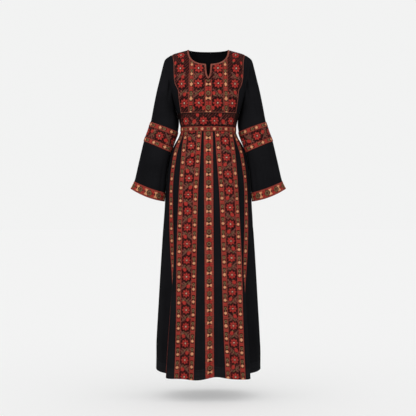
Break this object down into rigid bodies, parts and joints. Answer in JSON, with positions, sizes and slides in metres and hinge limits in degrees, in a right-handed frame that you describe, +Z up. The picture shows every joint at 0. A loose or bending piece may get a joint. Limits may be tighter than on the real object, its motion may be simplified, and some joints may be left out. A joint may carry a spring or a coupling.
{
  "type": "palestinian thobe dress",
  "caption": "Long black embroidered dress in its worn shape, hollow, with a round slit neck, wide sleeves and a flared skirt with sewn strips.",
  "frame": {"origin": "midway between the two neck points of the shoulder seams, where the wearer's shoulders hold the dress", "axes": "+X to the right seen from the front, the front faces -Y, +Z up"},
  "size_m": [0.6844, 0.3883, 1.4316],
  "materials": {
    "black_cloth": "matt crepe",
    "embroidery": "close cross stitch in cotton thread",
    "trim_cloth": "close stitched ribbon",
    "binding_cloth": "stitched binding"
  },
  "bodies": {
    "root": {"band_low_ribbon_left": "trim_cloth", "band_low_ribbon_right": "trim_cloth", "band_top_ribbon_left": "trim_cloth", "band_top_ribbon_right": "trim_cloth", "belt_ribbon": "trim_cloth", "bodice_back": "black_cloth", "bodice_front": "black_cloth", "centre_strip": "trim_cloth", "chest_centre_ribbon": "trim_cloth", "chest_flank_ribbon_left": "trim_cloth", "chest_flank_ribbon_right": "trim_cloth", "chest_panel": "embroidery", "cuff_ribbon_left": "trim_cloth", "cuff_ribbon_right": "trim_cloth", "midriff_band": "embroidery", "neck_binding_back": "black_cloth", "neck_binding_front": "binding_cloth", "side_ribbon_left": "trim_cloth", "side_ribbon_right": "trim_cloth", "skirt_back": "black_cloth", "skirt_front": "black_cloth", "sleeve_band_left": "embroidery", "sleeve_band_right": "embroidery", "sleeve_left": "black_cloth", "sleeve_right": "black_cloth", "strip_ribbon_inner_left": "trim_cloth", "strip_ribbon_inner_right": "trim_cloth", "strip_ribbon_outer_left": "trim_cloth", "strip_ribbon_outer_right": "trim_cloth", "wide_strip_left": "embroidery", "wide_strip_right": "embroidery"}
  },
  "joints": []
}
